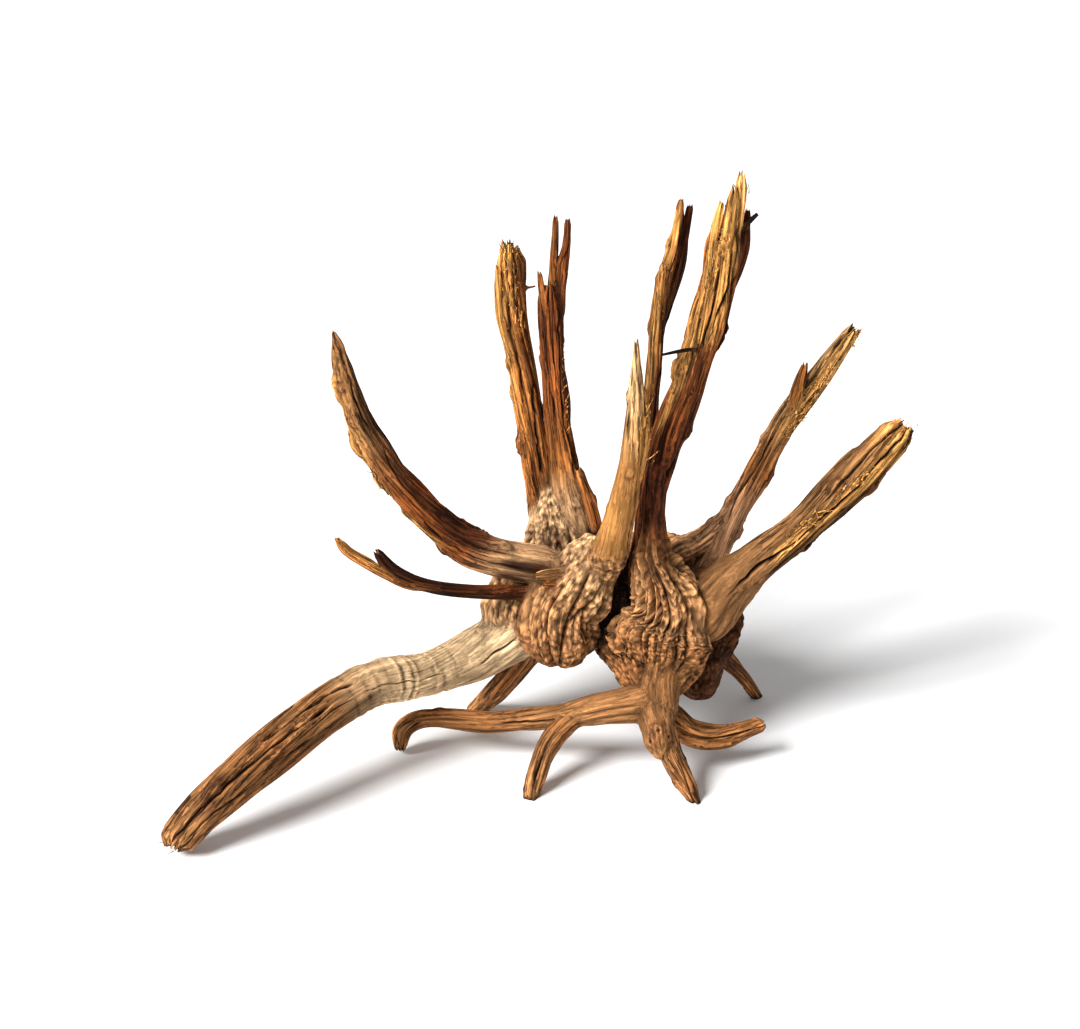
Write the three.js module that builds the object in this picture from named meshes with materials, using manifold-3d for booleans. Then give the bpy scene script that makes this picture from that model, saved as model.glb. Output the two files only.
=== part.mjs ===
// Dry root: the weathered, uprooted stump of a shrub. It grew as one piece of wood: a fluted burl in
// the middle, a crown of broken stems that fan out above it, and roots that carry it below, one of
// them long and arched. Millimetres; +X to the right, +Y to the back, +Z up. The origin lies on the
// surface that the root stands on, under the middle of its box.
import * as THREE from "three";
import { mergeVertices } from "three/addons/utils/BufferGeometryUtils.js";
import Module from "manifold-3d";

// How finely a limb is faceted.
const RING_STEP = 14; // length of wood between two rings
const THICK_SIDES = 10;
const THIN_SIDES = 8;
const THIN_RADIUS = 6.5; // a limb that is nowhere thicker than this gets THIN_SIDES
const BURL_RING_STEP = 10;
const BURL_SIDES = 20;

// The root has worn flat where it meets the surface; this block is what is worn away.
const FLOOR_BLOCK = 700;
const FLOOR_DEPTH = 40;

const WOOD_COLOUR = 0xa8794c;

// The swellings that make up the burl are very fat limbs, each from its top to its lower end:
// [x, y, z, radius]. The right lobe narrows into the neck that the lower roots leave from.
const BURL = {
  left_lobe: [
    [40, 44, 144, 14],
    [33, 38, 132, 23],
    [22, 33, 114, 32],
    [13, 31, 97, 34],
    [8, 31, 80, 31],
    [6, 34, 64, 22],
    [6, 35, 59, 12],
  ],
  right_lobe: [
    [64, 18, 160, 9],
    [67, 24, 144, 16],
    [73, 29, 125, 29],
    [78, 32, 104, 38],
    [78, 28, 87, 36],
    [75, 17, 71, 31],
    [72, 5, 60, 23],
    [70, -8, 52, 15],
  ],
  middle: [
    [44, 54, 132, 18],
    [46, 50, 106, 25],
    [50, 38, 84, 23],
    [60, 14, 66, 17],
    [68, -2, 53, 12],
  ],
  right_side: [
    [100, 48, 122, 11],
    [108, 52, 104, 21],
    [108, 54, 82, 26],
    [103, 52, 63, 22],
    [99, 48, 46, 13],
  ],
  left_side: [
    [-4, 60, 124, 13],
    [-18, 55, 108, 19],
    [-25, 52, 90, 20],
    [-22, 50, 70, 14],
  ],
  core: [
    [48, 68, 134, 22],
    [48, 68, 112, 34],
    [48, 68, 88, 35],
    [48, 62, 64, 22],
  ],
  back_left_lobe: [
    [16, 80, 134, 16],
    [12, 86, 114, 27],
    [12, 88, 94, 29],
    [16, 82, 70, 20],
  ],
  back_right_lobe: [
    [76, 74, 130, 14],
    [80, 82, 110, 27],
    [80, 83, 90, 30],
    [76, 78, 68, 20],
  ],
  back_mound: [
    [12, 86, 108, 20],
    [10, 88, 126, 24],
    [6, 90, 144, 20],
    [2, 92, 162, 12],
  ],
};

// Each limb runs smoothly through its points, from the burl outwards: [x, y, z, radius].
const LIMBS = {
  // the roots it stands on
  long_root: [
    [6, 54, 92, 14],
    [-14, 51, 81, 20],
    [-44, 44, 64, 18],
    [-77, 19, 61, 14.5],
    [-115, -14, 68, 15],
    [-155, -48, 56, 15],
    [-191, -82, 38, 14],
    [-222, -105, 14, 10.5],
    [-228, -110, 6, 8],
  ],
  neck: [
    [78, 28, 88, 12],
    [75, 15, 72, 14],
    [71, 3, 60, 15.5],
    [69, -14, 46, 15],
  ],
  knuckle: [
    [69, -12, 50, 13],
    [71, -26, 36, 10],
    [73, -33, 25, 5],
  ],
  hook_root: [
    [65, -9, 54, 13],
    [34, -8, 49, 10],
    [2, 0, 38, 7.5],
    [-38, 10, 29, 6.5],
    [-85, 18, 27, 6],
    [-97, 19, 18, 6],
    [-99, 18, 2, 4.5],
  ],
  left_foot: [
    [20, -5, 43, 7],
    [3, -16, 31, 7],
    [-6, -28, 14, 6.5],
    [-11, -38, -2, 4.5],
  ],
  front_foot: [
    [71, -17, 44, 10],
    [80, -30, 25, 7.5],
    [88, -37, 12, 6],
    [95, -43, -2, 4],
  ],
  right_root: [
    [76, -1, 42, 10],
    [93, -6, 30, 8.5],
    [115, 2, 23, 8],
    [144, 10, 29, 5],
  ],
  back_right_root: [
    [112, 62, 60, 8],
    [135, 84, 27, 4.5],
    [151, 102, -2, 3.5],
  ],
  left_stub: [
    [-10, 52, 60, 8],
    [-30, 62, 30, 8],
    [-52, 82, -2, 6.5],
  ],
  dark_stub: [
    [101, 45, 62, 18],
    [101, 43, 38, 14],
    [96, 40, 22, 9],
  ],

  // the broken stems of the crown
  left_limb: [
    [22, 48, 112, 9],
    [0, 42, 125, 12.5],
    [-44, 32, 142, 12.5],
    [-69, 24, 163, 11],
    [-94, 14, 198, 9],
    [-114, 6, 238, 8],
    [-123, 2, 272, 5.5],
    [-129, -1, 301, 2],
  ],
  left_twig: [
    [2, 42, 108, 6],
    [-28, 28, 115, 5],
    [-50, 20, 119, 4.5],
    [-72, 13, 125, 4.5],
    [-89, 8, 133, 4.5],
    [-101, 4, 144, 4],
    [-109, 1, 157, 3],
  ],
  left_twig_fork: [
    [-70, 12, 125, 3.5],
    [-92, 6, 132, 3.5],
    [-115, 1, 148, 3.5],
    [-126, -1, 157, 3.5],
    [-134, -2, 168, 2.5],
  ],
  back_left_limb: [
    [3, 88, 118, 10],
    [-2, 91, 140, 10],
    [-7, 95, 168, 8],
    [-10, 98, 195, 9],
    [-16, 102, 235, 9.5],
    [-24, 106, 283, 10],
    [-25, 110, 331, 9],
  ],
  forked_limb: [
    [22, 80, 116, 14],
    [18, 84, 138, 14],
    [13, 89, 162, 10.5],
    [8, 92, 197, 8.5],
    [4, 96, 245, 7.5],
    [2, 100, 291, 7.5],
    [2, 102, 310, 7],
  ],
  left_prong: [
    [3, 102, 300, 3.5],
    [5, 104, 345, 1.8],
  ],
  right_prong: [
    [6, 101, 290, 5],
    [11, 104, 320, 3.5],
    [13, 105, 343, 1.8],
  ],
  fork_strut: [
    [34, 76, 120, 6],
    [29, 82, 151, 5.2],
    [19, 86, 182, 3.6],
  ],
  front_limb: [
    [36, 34, 112, 11],
    [41, 21, 143, 14],
    [44, 7, 167, 10.5],
    [47, -3, 191, 9],
    [51, -8, 223, 7.2],
    [53, -10, 259, 5.5],
    [52, -12, 299, 1.6],
  ],
  slender_limb: [
    [60, 40, 112, 8],
    [62, 34, 170, 5],
    [64, 38, 217, 4.6],
    [67, 46, 267, 5],
    [74, 52, 320, 5.5],
    [84, 58, 366, 3.5],
  ],
  tall_limb: [
    [72, 36, 104, 15],
    [68, 24, 138, 13],
    [65, 14, 170, 8.5],
    [71, 14, 218, 9.5],
    [88, 20, 262, 10.5],
    [101, 26, 308, 11.5],
    [108, 31, 350, 11.5],
    [115, 36, 391, 6],
  ],
  right_limb: [
    [96, 58, 98, 12],
    [106, 62, 116, 10],
    [119, 68, 146, 9],
    [136, 76, 175, 8],
    [156, 84, 211, 8],
    [178, 92, 239, 8.5],
    [204, 102, 274, 6],
  ],
  right_limb_heel: [
    [60, 54, 112, 9],
    [82, 58, 128, 8.5],
    [102, 63, 136, 8],
    [119, 68, 149, 7],
  ],
  right_limb_spike: [
    [158, 82, 208, 5],
    [163, 86, 230, 4.5],
    [169, 88, 252, 2.5],
  ],
  far_right_limb: [
    [84, 42, 82, 16],
    [103, 34, 101, 22],
    [119, 28, 121, 17.5],
    [134, 25, 137, 13.5],
    [162, 26, 160, 12],
    [196, 30, 195, 13],
    [227, 34, 230, 11],
  ],
};

const wasm = await Module();
wasm.setup();

/** A cylinder bent along the limb's line, its radius changing smoothly from point to point. */
function limbGeometry(points, ringStep, sides) {
  const centres = points.map(([x, y, z]) => new THREE.Vector3(x, y, z));
  const radii = points.map((point) => point[3]);
  const curve = new THREE.CatmullRomCurve3(centres, false, "centripetal");
  const rings = Math.max(3, Math.round(curve.getLength() / ringStep));
  const frames = curve.computeFrenetFrames(rings);
  const geometry = new THREE.CylinderGeometry(1, 1, 1, sides, rings);
  const position = geometry.getAttribute("position");
  const vertex = new THREE.Vector3();
  for (let i = 0; i < position.count; i++) {
    vertex.fromBufferAttribute(position, i);
    const ring = Math.round((vertex.y + 0.5) * rings);
    const radius = radiusAt(curve.getUtoTmapping(ring / rings), radii);
    const point = curve
      .getPointAt(ring / rings)
      .addScaledVector(frames.normals[ring], vertex.x * radius)
      .addScaledVector(frames.binormals[ring], -vertex.z * radius);
    position.setXYZ(i, point.x, point.y, point.z);
  }
  return geometry;
}

/** The radius at share t of the way through the points, eased between one point and the next. */
function radiusAt(t, radii) {
  const place = t * (radii.length - 1);
  const before = Math.min(Math.floor(place), radii.length - 2);
  const share = THREE.MathUtils.smoothstep(place - before, 0, 1);
  return THREE.MathUtils.lerp(radii[before], radii[before + 1], share);
}

/** How many sides a stem or a root gets, from the radius at its thickest point. */
function sidesOf(points) {
  const thickest = Math.max(...points.map((point) => point[3]));
  return thickest > THIN_RADIUS ? THICK_SIDES : THIN_SIDES;
}

/** A closed three.js geometry as a manifold-3d solid. */
function solidOf(geometry) {
  const bare = geometry.clone();
  bare.deleteAttribute("normal");
  bare.deleteAttribute("uv");
  const merged = mergeVertices(bare, 1e-3);
  return new wasm.Manifold(
    new wasm.Mesh({
      numProp: 3,
      vertProperties: merged.getAttribute("position").array,
      triVerts: new Uint32Array(merged.index.array),
    }),
  );
}

/** A manifold-3d solid as a three.js geometry. */
function geometryOf(solid) {
  const { vertProperties, triVerts } = solid.getMesh();
  const geometry = new THREE.BufferGeometry();
  geometry.setAttribute("position", new THREE.BufferAttribute(vertProperties, 3));
  geometry.setIndex(new THREE.BufferAttribute(triVerts, 1));
  geometry.computeVertexNormals();
  return geometry;
}

const swellings = Object.values(BURL).map((points) =>
  limbGeometry(points, BURL_RING_STEP, BURL_SIDES),
);
const limbs = Object.values(LIMBS).map((points) =>
  limbGeometry(points, RING_STEP, sidesOf(points)),
);
const floorBlock = new THREE.BoxGeometry(FLOOR_BLOCK, FLOOR_BLOCK, FLOOR_DEPTH).translate(
  0,
  0,
  -FLOOR_DEPTH / 2,
);

const wood = [...swellings, ...limbs]
  .map(solidOf)
  .reduce((joined, solid) => joined.add(solid))
  .subtract(solidOf(floorBlock));

const root = new THREE.Mesh(
  geometryOf(wood),
  new THREE.MeshStandardMaterial({ color: WOOD_COLOUR, roughness: 0.9, metalness: 0 }),
);
root.name = "dry_root";

const part = new THREE.Group();
part.add(root);

export default part;
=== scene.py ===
# %% [markdown]
# # A dry shrub root
# This lesson builds one weathered, uprooted shrub root in Blender. It grew as one piece of wood:
# a corky burl in the middle, a crown of broken stems above it and a few gnarled roots below.
# The plain solid of the same root is already in the scene as the frame. It fixes where every stem
# and root runs and how thick it is. Here each of them gets its real surface.

import itertools

import bpy
import numpy as np
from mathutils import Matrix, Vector


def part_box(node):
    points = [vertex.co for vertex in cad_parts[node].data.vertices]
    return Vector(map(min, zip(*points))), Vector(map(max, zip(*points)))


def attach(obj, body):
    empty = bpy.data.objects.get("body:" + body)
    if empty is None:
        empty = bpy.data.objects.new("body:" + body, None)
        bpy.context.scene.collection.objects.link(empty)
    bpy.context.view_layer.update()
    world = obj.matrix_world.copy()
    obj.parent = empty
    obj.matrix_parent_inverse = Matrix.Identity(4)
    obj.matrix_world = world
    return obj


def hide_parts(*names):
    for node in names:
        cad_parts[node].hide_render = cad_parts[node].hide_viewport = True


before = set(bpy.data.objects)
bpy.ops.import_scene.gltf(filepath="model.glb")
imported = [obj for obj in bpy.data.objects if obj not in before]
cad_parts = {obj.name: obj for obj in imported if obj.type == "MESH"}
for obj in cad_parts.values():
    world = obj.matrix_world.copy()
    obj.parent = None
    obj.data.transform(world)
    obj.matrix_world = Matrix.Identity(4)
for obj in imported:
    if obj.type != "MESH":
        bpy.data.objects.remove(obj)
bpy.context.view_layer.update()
MM = 0.001
low, high = (np.array(corner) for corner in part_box("dry_root"))
print("the root measures, in mm:", ((high - low) / MM).round())

# %% [markdown]
# ## Where we look from, and the light
# A root this shape is looked at from the front and a little above. The camera stands well back, so
# the stems keep their true lengths. The light is a large soft window at the upper left in front,
# with a bright even room around it, so the shadow falls softly to the right on a white floor.

# %% Camera
CAMERA_DISTANCE = 1.170
CAMERA_RISE = np.radians(22)
LOOK_AT = Vector((-0.005, 0.044, 0.163))


def point_at(item, target):
    """Turns a camera or a light, which look along their own -Z, from where it is to the target."""
    item.rotation_euler = (item.location - target).to_track_quat("Z", "Y").to_euler()


camera = bpy.data.objects.new("camera", bpy.data.cameras.new("camera"))
camera.data.lens = 60
camera.data.sensor_width = 36
camera.location = LOOK_AT + CAMERA_DISTANCE * Vector((0, -np.cos(CAMERA_RISE), np.sin(CAMERA_RISE)))
point_at(camera, LOOK_AT)
bpy.context.scene.collection.objects.link(camera)
bpy.context.scene.camera = camera
print("the camera stands at", camera.location)

# %% Light
WINDOW_DIRECTION = Vector((-0.70, -0.62, 0.78))
WINDOW_SPREAD = np.radians(24)
WINDOW_STRENGTH = 5.4
ROOM_BRIGHTNESS = 0.36

window = bpy.data.objects.new("window", bpy.data.lights.new("window", "SUN"))
window.data.angle = WINDOW_SPREAD
window.data.energy = WINDOW_STRENGTH
window.location = LOOK_AT + WINDOW_DIRECTION
point_at(window, LOOK_AT)
bpy.context.scene.collection.objects.link(window)

room = bpy.data.worlds.new("room")
room.use_nodes = True
room.node_tree.nodes["Background"].inputs["Strength"].default_value = ROOM_BRIGHTNESS
room.node_tree.nodes["Background"].inputs["Color"].default_value = (1, 1, 1, 1)
bpy.context.scene.world = room
bpy.context.scene.view_settings.view_transform = "Standard"

# %% [markdown]
# ## Noise, the maker's chisel
# Wood has no straight lines and no two equal strands, so every surface here is shaped with noise:
# numbers that look random but are always the same at the same place. The plain one fades between
# the corners of a lattice. The second packs a surface with rounded grains, as cork bark is packed.

# %% Noise


def lattice(cell, seed):
    """A repeatable value from -1 to 1 for each whole-number cell: its numbers are multiplied by
    large odd numbers, mixed together and folded over twice."""
    whole = cell.astype(np.int64)
    mixed = whole[..., 0] * 73856093 ^ whole[..., 1] * 19349663 ^ whole[..., 2] * 83492791
    mixed = (mixed ^ seed * 40503) * 1274126177 & 0xFFFFFFFF
    mixed = (mixed ^ mixed >> 15) * 2246822519 & 0xFFFFFFFF
    return ((mixed ^ mixed >> 13) & 0xFFFFFF) / 0x7FFFFF - 1


def noise(points, size, seed=0):
    """Smooth noise from -1 to 1 that changes over about size: the eight corner values of the cell
    that a point is in, blended by the easing curve 3t^2 - 2t^3 along each side."""
    place = points / size
    base = np.floor(place)
    ease = (place - base) ** 2 * (3 - 2 * (place - base))
    total = np.zeros(place.shape[:-1])
    for corner in itertools.product((0, 1), repeat=3):
        share = np.prod(np.where(np.array(corner) == 1, ease, 1 - ease), axis=-1)
        total += share * lattice(base + corner, seed)
    return total


def cells(points, size, seed=0):
    """The distances, in cells, to the nearest and the second nearest of scattered middles: each
    cell of the lattice holds one, a little off its own centre."""
    place = points / size
    base = np.floor(place)
    nearest = np.full(place.shape[:-1], np.inf)
    second = nearest.copy()
    for step in itertools.product((-1, 0, 1), repeat=3):
        cell = base + step
        off = np.stack([lattice(cell, seed + axis) for axis in (11, 12, 13)], -1)
        far = np.sqrt(((place - cell - 0.5 - 0.38 * off) ** 2).sum(-1))
        second = np.minimum(second, np.maximum(nearest, far))
        nearest = np.minimum(nearest, far)
    return nearest, second


def grains(points, size, seed=0):
    """The height, 0 to 1, of a surface packed with rounded grains: it falls with the squared
    distance to the nearest middle."""
    nearest, _ = cells(points, size, seed)
    return np.clip(1 - 1.3 * nearest**2, 0, 1)


def ease_between(value, start, end):
    """0 below start, 1 above end, and the easing curve 3t^2 - 2t^3 between them."""
    share = np.clip((value - start) / (end - start), 0, 1)
    return share**2 * (3 - 2 * share)


def window_between(value, start, end, fade):
    """1 between start and end, fading to 0 over a distance of fade outside them."""
    return ease_between(value, start - fade, start) * (1 - ease_between(value, end, end + fade))


# %% [markdown]
# ## The line of a limb
# A stem or a root is a line that wanders, with a thickness at each place. A few given points
# are enough, and a Catmull-Rom curve runs smoothly through them. Around the line we need two more
# directions that never spin. So angles on every limb are measured from the side that faces the
# front: 0 is the front, and 90 is the right side of a stem that grows upwards.

# %% Line and directions
FRONT = np.array([0, -1, 0.35]) / np.linalg.norm([0, -1, 0.35])


def smooth_line(points, step):
    """Even samples (x, y, z, radius) of the curve through the points: centripetal Catmull-Rom,
    each piece a cubic between two points that leaves them along their neighbours' directions."""
    knots = np.array(points, float)
    first = 2 * knots[0] - knots[1]
    last = 2 * knots[-1] - knots[-2]
    places = np.concatenate([[first], knots, [last]])[:, :3]
    gap = np.sqrt(np.linalg.norm(np.diff(places, axis=0), axis=1))[:, None]
    before, here, after = gap[:-2], gap[1:-1], gap[2:]
    p0, p1, p2, p3 = places[:-3], places[1:-2], places[2:-1], places[3:]
    leave = here * ((p1 - p0) / before - (p2 - p0) / (before + here) + (p2 - p1) / here)
    arrive = here * ((p2 - p1) / here - (p3 - p1) / (here + after) + (p3 - p2) / after)
    t = np.linspace(0, 1, 50)[:, None, None]
    curve = p1 + leave * t + (3 * (p2 - p1) - 2 * leave - arrive) * t**2
    curve = curve + (2 * (p1 - p2) + leave + arrive) * t**3
    eased = t[..., 0] ** 2 * (3 - 2 * t[..., 0])
    radius = knots[:-1, 3] + eased * np.diff(knots[:, 3])
    curve = curve.swapaxes(0, 1).reshape(-1, 3)
    radius = radius.T.ravel()
    along = np.concatenate([[0], np.cumsum(np.linalg.norm(np.diff(curve, axis=0), axis=1))])
    even = np.linspace(0, along[-1], max(4, round(along[-1] / step)) + 1)
    columns = [np.interp(even, along, column) for column in (*curve.T, radius)]
    return even, np.stack(columns[:3], -1), columns[3]


def directions(line):
    """Two unit directions across the line at each sample: the front one, which is FRONT made
    square to the line, and the side one, which is square to both."""
    heading = np.gradient(line, axis=0)
    heading /= np.linalg.norm(heading, axis=1, keepdims=True)
    front = FRONT - (heading @ FRONT)[:, None] * heading
    front /= np.linalg.norm(front, axis=1, keepdims=True)
    return front, np.cross(heading, front)


# %% [markdown]
# ## From a grid to a closed skin
# A limb is a grid that wraps round: rings along it, sides around it. One point closes each end.
# Every vertex carries what the wood is like there, for the material to read: its colour, how corky
# it is, how calm its streaks are, and where it lies along and across the grain.

# %% Skin


def linear(colour):
    """An sRGB hex colour as three linear numbers, as light adds up."""
    channels = np.array([int(colour[i : i + 2], 16) for i in (1, 3, 5)]) / 255
    return np.where(channels < 0.04045, channels / 12.92, ((channels + 0.055) / 1.055) ** 2.4)


def tube_faces(rings, sides):
    """Quads between each ring and the next, and a fan of triangles from the last two vertices,
    the poles, to the first and the last ring."""
    ring, side = np.meshgrid(np.arange(rings - 1), np.arange(sides), indexing="ij")
    here, beside = ring * sides + side, ring * sides + (side + 1) % sides
    quads = np.stack([here, beside, beside + sides, here + sides], -1).reshape(-1, 4)
    side = np.arange(sides)
    beside = (side + 1) % sides
    top = (rings - 1) * sides
    start_fan = np.stack([np.full(sides, rings * sides), beside, side], -1)
    end_fan = np.stack([np.full(sides, rings * sides + 1), top + side, top + beside], -1)
    return quads.tolist() + start_fan.tolist() + end_fan.tolist()


def skin(name, points, poles, faces, layers):
    """A mesh object of grid points and two poles, in mm, with a value of each layer per vertex.
    The grain is kept per face corner, so that it stays sharp where two skins are united."""
    mesh = bpy.data.meshes.new(name)
    mesh.from_pydata((np.concatenate([points, poles]) * MM).tolist(), [], faces)
    corners = np.zeros(len(mesh.loops), int)
    mesh.loops.foreach_get("vertex_index", corners)
    for layer, values in layers.items():
        ends = values[[0, -1]]
        values = np.concatenate([values, ends])
        if layer == "grain":
            attribute = mesh.attributes.new(layer, "FLOAT_VECTOR", "CORNER")
            attribute.data.foreach_set("vector", (values[corners] * MM).ravel())
        elif values.ndim == 2:
            attribute = mesh.attributes.new(layer, "FLOAT_VECTOR", "POINT")
            attribute.data.foreach_set("vector", values.ravel())
        else:
            attribute = mesh.attributes.new(layer, "FLOAT", "POINT")
            attribute.data.foreach_set("value", values)
    return bpy.data.objects.new(name, mesh)


# %% [markdown]
# ## What happens to a limb's surface
# Weather and breaking leave a few kinds of marks, and each is a number added to the radius:
# strands and grooves along the grain, long drying cracks, knots where twigs sat, small round holes,
# faces where a strip was torn away, wrinkles, cork near the burl with its hanging ropes, and an end
# that broke into splinters of different lengths. Most marks also change the colour: torn wood is
# golden, knots are dark, and cracks and holes are painted dark with shade, the more the deeper they
# are.

# %% Marks
TORN_COLOUR = linear("#d0954f")
# painted shade for cracks and small holes, blended in by their depth
CRACK_SHADE_COLOUR = linear("#170903")
# stains, and painted shade on the side of a stem away from the window
STAIN_AND_SHADE_COLOUR = linear("#33150a")
KNOT_COLOUR = linear("#452010")
LONG = np.array([1, 1, 0.1])


def blend(colours, other, share):
    """The colours moved towards another one by each place's share."""
    return colours + (other - colours) * share[..., None]


def tint_along(tints, share):
    """The colour at each share of a limb's length, faded from one (share, hex) to the next."""
    stops = [place for place, colour in tints]
    channels = np.array([linear(colour) for place, colour in tints]).T
    return np.stack([np.interp(share, stops, channel) for channel in channels], -1)


def across(spot, centre):
    """The distance around the limb, in mm, from an angle in degrees, the short way."""
    turn = spot["angle"] - np.radians(centre) + np.pi
    return (np.mod(turn, 2 * np.pi) - np.pi) * spot["size"]


def patch(spot, centre, half, start, end, ragged):
    """1 inside a patch that is half degrees wide to each side of centre and runs between two
    shares of the length, with an edge that noise makes ragged."""
    degrees = np.abs(np.degrees(across(spot, centre) / spot["size"]))
    degrees = degrees + ragged * noise(spot["wood"] * LONG, 4, spot["seed"] + 4)
    reach = window_between(spot["s"], start * spot["length"], end * spot["length"], 9)
    return reach * (1 - ease_between(degrees, half * 0.75, half * 1.2))


def strands(spot, height, width, fibre):
    """Strands of wood: noise stretched along the grain and folded at zero, so that the ridges are
    round and the valleys sharp, at two widths, with slow swells under them."""
    wood, seed = spot["wood"], spot["seed"]
    slim = np.clip(spot["size"] / 8, 0.25, 1)
    broad = 2 * np.abs(noise(wood * LONG, width, seed)) - 0.6
    fine = 2 * np.abs(noise(wood * LONG * [1, 1, 0.7], 2.3, seed + 2)) - 0.6
    swell = noise(wood * [1, 1, 0.35], width * 2.8, seed + 1)
    return slim * height * (1.3 * broad + 0.7 * swell) + 1.4 * fibre * fine


def cracks_in(spot, cracks):
    """Depth of the drying cracks: narrow valleys that wander a little around the limb, and pinch
    shut and open again along it. Each is (angle, depth, width, start, end)."""
    depth = np.zeros(spot["s"].shape)
    for number, (centre, deep, width, start, end) in enumerate(cracks):
        seed = spot["seed"] + 31 * number
        line = np.stack([np.zeros_like(spot["s"]), np.zeros_like(spot["s"]), spot["s"]], -1)
        wander = 2.2 * noise(line, 26, seed) + 0.6 * noise(line, 5, seed + 1)
        opened = 0.65 + 0.45 * noise(line, 12, seed + 2)
        reach = window_between(spot["s"], start * spot["length"], end * spot["length"], 10)
        far = (across(spot, centre) - wander) / (width * opened)
        depth = np.maximum(depth, deep * opened * reach * np.exp(-(far**2)))
    return depth


def knots_on(spot, knots):
    """Height and darkness of the knots: rough cones with a small pit, dark around their foot.
    Each is (share of the length, angle, height)."""
    height, dark = np.zeros(spot["s"].shape), np.zeros(spot["s"].shape)
    for place, centre, tall in knots:
        reach = 1.15 * tall + 0.5
        far = np.hypot(across(spot, centre), (spot["s"] - place * spot["length"]) * 0.75) / reach
        far = far * (1 + 0.45 * noise(spot["wood"], 2.2, spot["seed"] + 5))
        height += tall * (np.exp(-(far**2)) - 0.35 * np.exp(-((far / 0.35) ** 2)))
        ring = np.exp(-(((far - 0.95) / 0.4) ** 2))
        dark = np.maximum(dark, ring + 0.7 * np.exp(-((far / 0.3) ** 2)))
    return height, np.clip(dark, 0, 1)


def pits_on(spot, pits):
    """How deep each place is in a small round hole, 0 to 1. Each is (share of the length, angle,
    radius in mm)."""
    deep = np.zeros(spot["s"].shape)
    for place, centre, radius in pits:
        far = np.hypot(across(spot, centre), spot["s"] - place * spot["length"]) / radius
        deep = np.maximum(deep, np.exp(-(far**4)))
    return deep


def cork_on(spot, amount, grain=3.1):
    """Height of cork, and how high each place is on its own grain: packed grains a little longer
    than wide, on knobbly lumps."""
    packed = grains(spot["wood"] * [1, 1, 0.72], grain, spot["seed"] + 10)
    lumps = noise(spot["wood"] * [1, 1, 0.8], 7, spot["seed"] + 11)
    return amount * (1.8 * packed - 0.9 + 1.1 * lumps), packed


def ropes_on(spot, width, depth, start, stretch):
    """Height of hanging ropes of cork: cells 1 / stretch times longer than wide, whose backs are
    round and whose borders are sharp clefts. They keep their turns, so they draw together where
    the limb gets thin. Above the share start of the length they fade into one even crust."""
    turn = spot["angle"]
    widest = spot["size"].max()
    flow = np.stack([np.cos(turn) * widest, np.sin(turn) * widest, stretch * spot["s"]], -1)
    seeds = [spot["seed"] + 40 + axis for axis in range(3)]
    bend = np.stack([noise(spot["wood"], 2.2 * width, seed) for seed in seeds], -1)
    flow = flow + 0.32 * width * bend * [1, 1, 0.4]
    height = np.zeros(turn.shape)
    for size, share in ((width, 1.0), (width * 0.46, 0.34)):
        nearest, second = cells(flow, size, spot["seed"] + 44)
        height += share * (np.clip(1.9 * (second - nearest), 0, 1) ** 0.6 - 0.7)
    begin, full = (start - 0.25) * spot["length"], (start + 0.25) * spot["length"]
    return depth * height * ease_between(spot["s"], begin, full)


# %% Wood and its damage


def plain_wood(spot, tints, strand, fibre, calm):
    """Relief and colour of sound wood, and how calm its streaks are. Each calm row is (start, end,
    amount), with start and end as shares of the length."""
    s, length, wood, seed = spot["s"], spot["length"], spot["wood"], spot["seed"]
    even = np.zeros(s.shape)
    for start, end, amount in calm:
        even = np.maximum(even, amount * window_between(s, start * length, end * length, 12))
    relief = strands(spot, *strand, fibre) * (1 - 0.6 * even)
    colours = tint_along(tints, s / length)
    colours = colours * (1 + 0.2 * noise(wood * [1, 1, 0.25], 8, seed + 3))[..., None]
    return relief, colours, even


def torn_stained_and_shaded(spot, relief, colours, torn, dark):
    """Adds torn faces, each (angle, half width in degrees, start, end, depth), and dark patches,
    each (angle, half width in degrees, start, end, share): partly stains, and partly painted shade on
    the side of a limb away from the window."""
    wood, seed = spot["wood"], spot["seed"]
    for centre, half, start, end, depth in torn:
        inside = patch(spot, centre, half, start, end, 14)
        torn_fibre = 2 * np.abs(noise(wood * LONG * [1, 1, 0.5], 1.7, seed + 6)) - 0.7
        relief = relief + inside * (0.75 * torn_fibre - depth)
        colours = blend(colours, TORN_COLOUR, 0.7 * inside)
    # dark patches: partly stains, partly painted shade on the side away from the window
    for centre, half, start, end, share in dark:
        inside = patch(spot, centre, half, start, end, 22)
        patchy = np.clip(0.75 + 0.8 * noise(wood * [1, 1, 0.18], 5, seed + 7), 0, 1)
        colours = blend(colours, STAIN_AND_SHADE_COLOUR, share * inside * patchy)
    return relief, colours


def random_knots(count, seed):
    """Small knots at random places, as rows for knots_on."""
    rng = np.random.default_rng(seed)
    return [
        (rng.uniform(0.1, 0.92), rng.uniform(-180, 180), rng.uniform(0.9, 2.1))
        for _ in range(count)
    ]


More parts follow.
